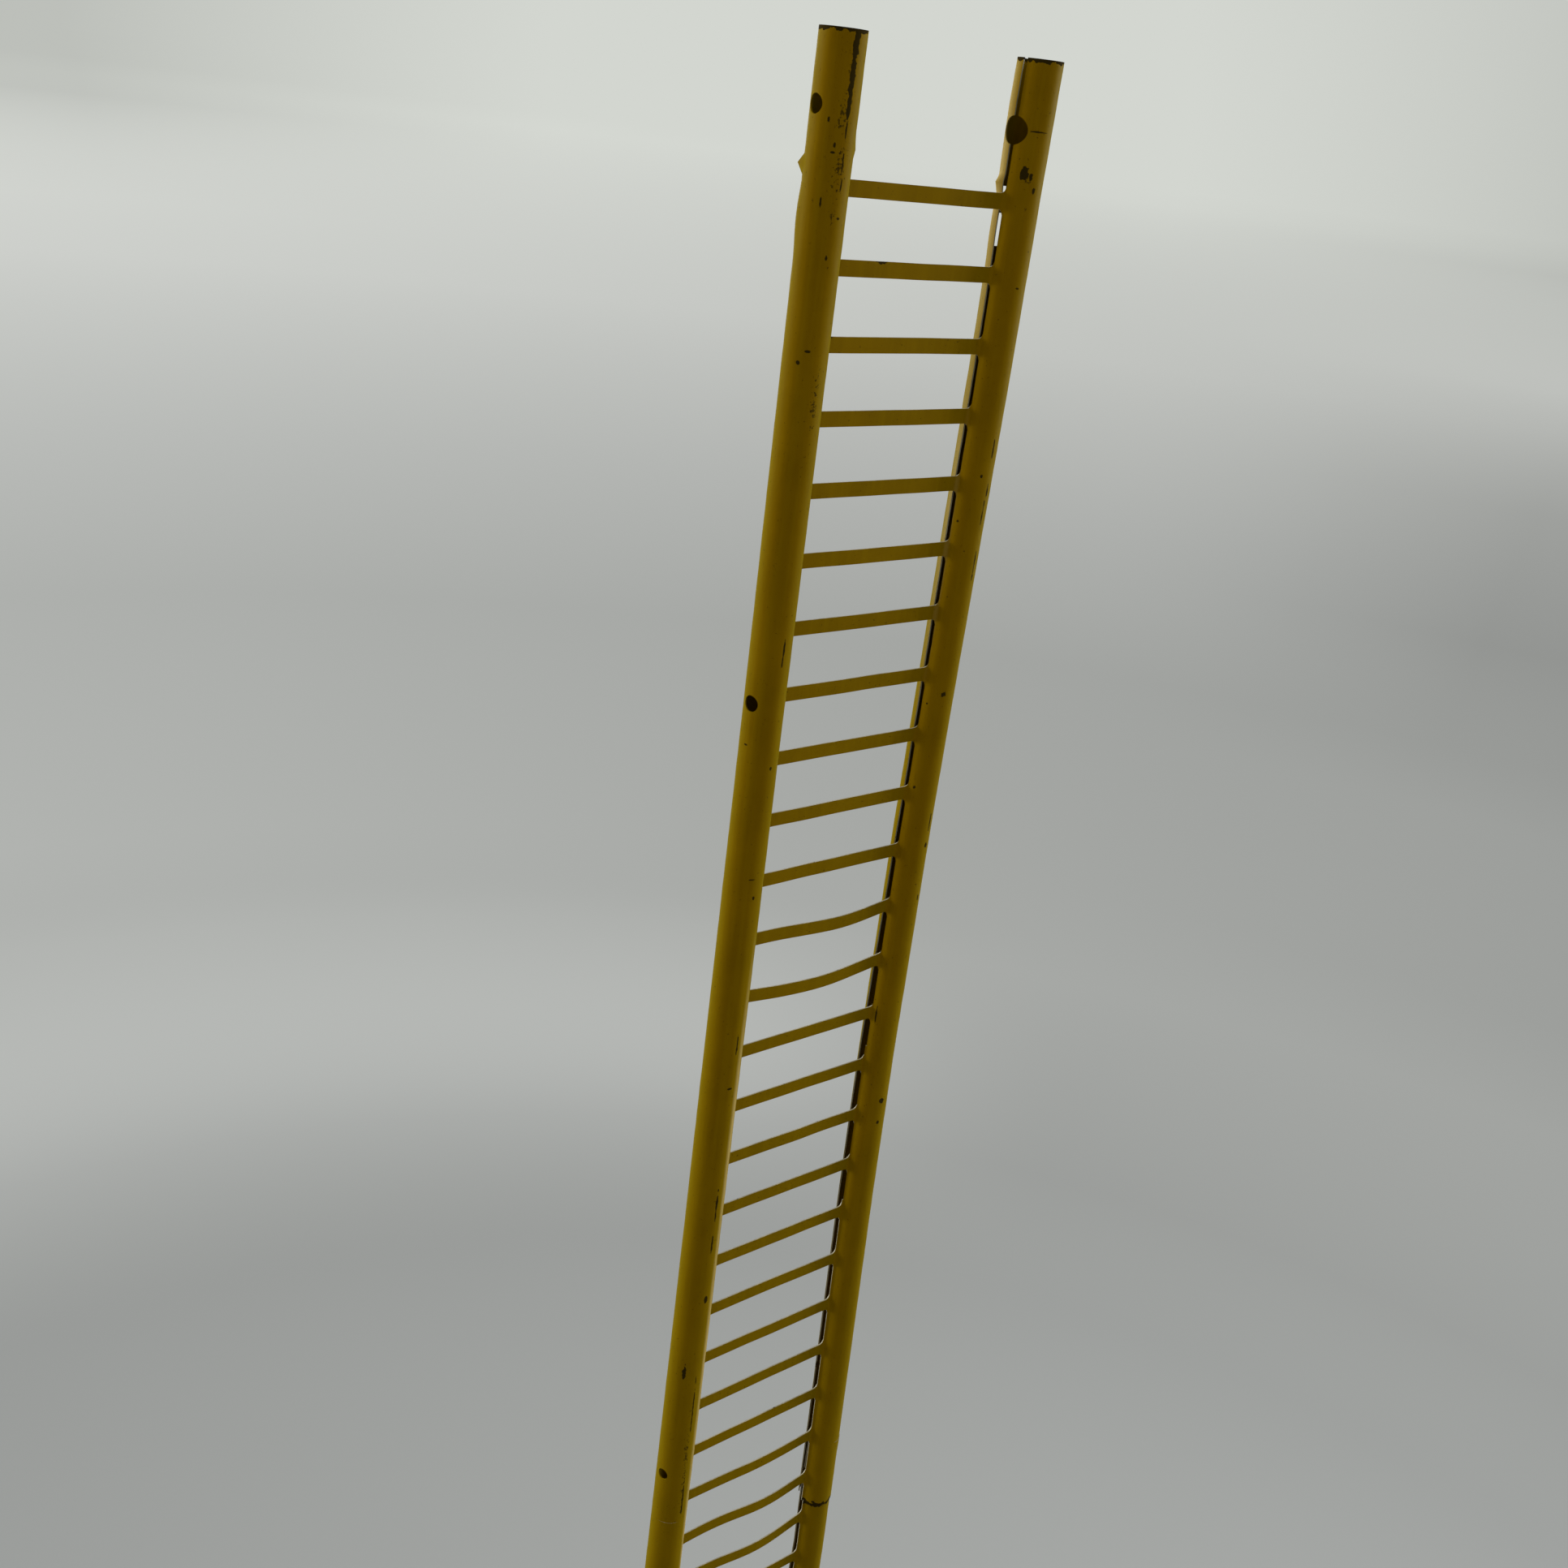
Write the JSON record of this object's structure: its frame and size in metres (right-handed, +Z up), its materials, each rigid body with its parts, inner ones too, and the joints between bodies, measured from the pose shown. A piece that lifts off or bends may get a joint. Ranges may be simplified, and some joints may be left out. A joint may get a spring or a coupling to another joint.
{
  "type": "climbing fireman toy",
  "caption": "Clockwork tin fireman with jointed arms and legs that climbs a two-section yellow tinplate ladder standing on a pressed base.",
  "frame": {"origin": "middle of the base, on the table", "axes": "+Z up along the ladder, +X along the rungs, +Y from the climber to the ladder"},
  "size_m": [0.11, 0.124, 0.5562],
  "materials": {
    "base_enamel": "gloss enamel",
    "ladder_enamel": "gloss enamel, worn",
    "coat_enamel": "gloss enamel",
    "limb_enamel": "gloss",
    "face_enamel": "satin",
    "helmet_enamel": "gloss",
    "bright_steel": "plated",
    "blued_spring_steel": "blued",
    "wheel_brass": "satin"
  },
  "bodies": {
    "base": {"base_plate": "base_enamel", "left_post": "bright_steel", "right_post": "bright_steel", "post_rivets": "bright_steel"},
    "lower_section": {"lower_left_rail": "ladder_enamel", "lower_right_rail": "ladder_enamel", "lower_rungs": "ladder_enamel"},
    "upper_section": {"upper_left_rail": "ladder_enamel", "upper_right_rail": "ladder_enamel", "upper_rungs": "ladder_enamel"},
    "fireman": {"coat_front": "coat_enamel", "coat_back": "coat_enamel", "head": "face_enamel", "helmet": "helmet_enamel", "helmet_shield": "wheel_brass", "left_plate": "bright_steel", "right_plate": "bright_steel", "frame_pillars": "bright_steel", "shoulder_shaft": "bright_steel", "hip_shaft": "bright_steel", "mainspring": "blued_spring_steel"},
    "arm_left": {"left_arm": "limb_enamel", "left_hand_hook": "bright_steel", "left_arm_lever": "bright_steel"},
    "arm_right": {"right_arm": "limb_enamel", "right_hand_hook": "bright_steel", "right_arm_lever": "bright_steel"},
    "leg_left": {"left_leg": "limb_enamel", "left_boot_hook": "bright_steel", "left_leg_lever": "bright_steel"},
    "leg_right": {"right_leg": "limb_enamel", "right_boot_hook": "bright_steel", "right_leg_lever": "bright_steel"},
    "winder": {"winding_arbor": "bright_steel", "ratchet_wheel": "bright_steel", "winding_key": "wheel_brass"},
    "great": {"great_wheel": "wheel_brass", "click_spring": "blued_spring_steel"},
    "pawl": {"click": "bright_steel"},
    "second": {"second_wheel": "wheel_brass", "second_pinion": "bright_steel"},
    "cranks": {"crank_wheel": "wheel_brass", "crank_pinion": "bright_steel", "left_crank": "bright_steel", "right_crank": "bright_steel"},
    "escape": {"escape_wheel": "wheel_brass", "escape_pinion": "bright_steel"},
    "pallets": {"verge": "bright_steel"},
    "stopper": {"stop_lever": "bright_steel"}
  },
  "joints": [
    {"name": "ladder_lift", "type": "slide", "parent": "base", "child": "lower_section", "axis": [0, 0, 1], "range_m": [0, 0.022]},
    {"name": "section_lift", "type": "slide", "parent": "lower_section", "child": "upper_section", "axis": [0, 0, 1], "range_m": [0, 0.022]},
    {"name": "climb", "type": "slide", "parent": "lower_section", "child": "fireman", "axis": [0, 0, 1], "range_m": [0, 0.33]},
    {"name": "left_arm_swing", "type": "hinge", "parent": "fireman", "child": "arm_left", "pos_m": [0, -0.0194, 0.16075], "axis": [1, 0, 0], "range_deg": [-25.7, 0]},
    {"name": "right_arm_swing", "type": "hinge", "parent": "fireman", "child": "arm_right", "pos_m": [0, -0.0194, 0.16075], "axis": [1, 0, 0], "range_deg": [0, 25.7]},
    {"name": "left_leg_swing", "type": "hinge", "parent": "fireman", "child": "leg_left", "pos_m": [0, -0.0194, 0.10875], "axis": [1, 0, 0], "range_deg": [0, 16.19]},
    {"name": "right_leg_swing", "type": "hinge", "parent": "fireman", "child": "leg_right", "pos_m": [0, -0.0194, 0.10875], "axis": [1, 0, 0], "range_deg": [-16.19, 0]},
    {"name": "winding", "type": "hinge", "parent": "fireman", "child": "winder", "pos_m": [0, -0.0229, 0.12175], "axis": [1, 0, 0], "continuous": true},
    {"name": "crank_spin", "type": "hinge", "parent": "fireman", "child": "cranks", "pos_m": [0, -0.01726, 0.14063], "axis": [1, 0, 0], "continuous": true},
    {"name": "great_spin", "type": "hinge", "parent": "fireman", "child": "great", "pos_m": [0, -0.0229, 0.12175], "axis": [1, 0, 0], "continuous": true},
    {"name": "click_lift", "type": "hinge", "parent": "great", "child": "pawl", "pos_m": [0, -0.02862, 0.11845], "axis": [1, 0, 0], "range_deg": [-8, 0]},
    {"name": "second_spin", "type": "hinge", "parent": "fireman", "child": "second", "pos_m": [0, -0.02369, 0.13297], "axis": [1, 0, 0], "continuous": true},
    {"name": "escape_spin", "type": "hinge", "parent": "fireman", "child": "escape", "pos_m": [0, -0.0224, 0.14676], "axis": [1, 0, 0], "continuous": true},
    {"name": "verge_rock", "type": "hinge", "parent": "fireman", "child": "pallets", "pos_m": [0, -0.02048, 0.15391], "axis": [1, 0, 0], "range_deg": [-4, 4]},
    {"name": "stop_lever_swing", "type": "hinge", "parent": "fireman", "child": "stopper", "pos_m": [0, -0.0286, 0.14925], "axis": [1, 0, 0], "range_deg": [0, 12]}
  ],
  "couplings": [
    {"joint": "right_arm_swing", "follows": "left_arm_swing", "ratio": -1},
    {"joint": "left_leg_swing", "follows": "left_arm_swing", "ratio": -0.6299},
    {"joint": "right_leg_swing", "follows": "left_arm_swing", "ratio": 0.6299},
    {"joint": "second_spin", "follows": "crank_spin", "ratio": -0.33333},
    {"joint": "great_spin", "follows": "crank_spin", "ratio": 0.083333},
    {"joint": "escape_spin", "follows": "crank_spin", "ratio": -3}
  ]
}
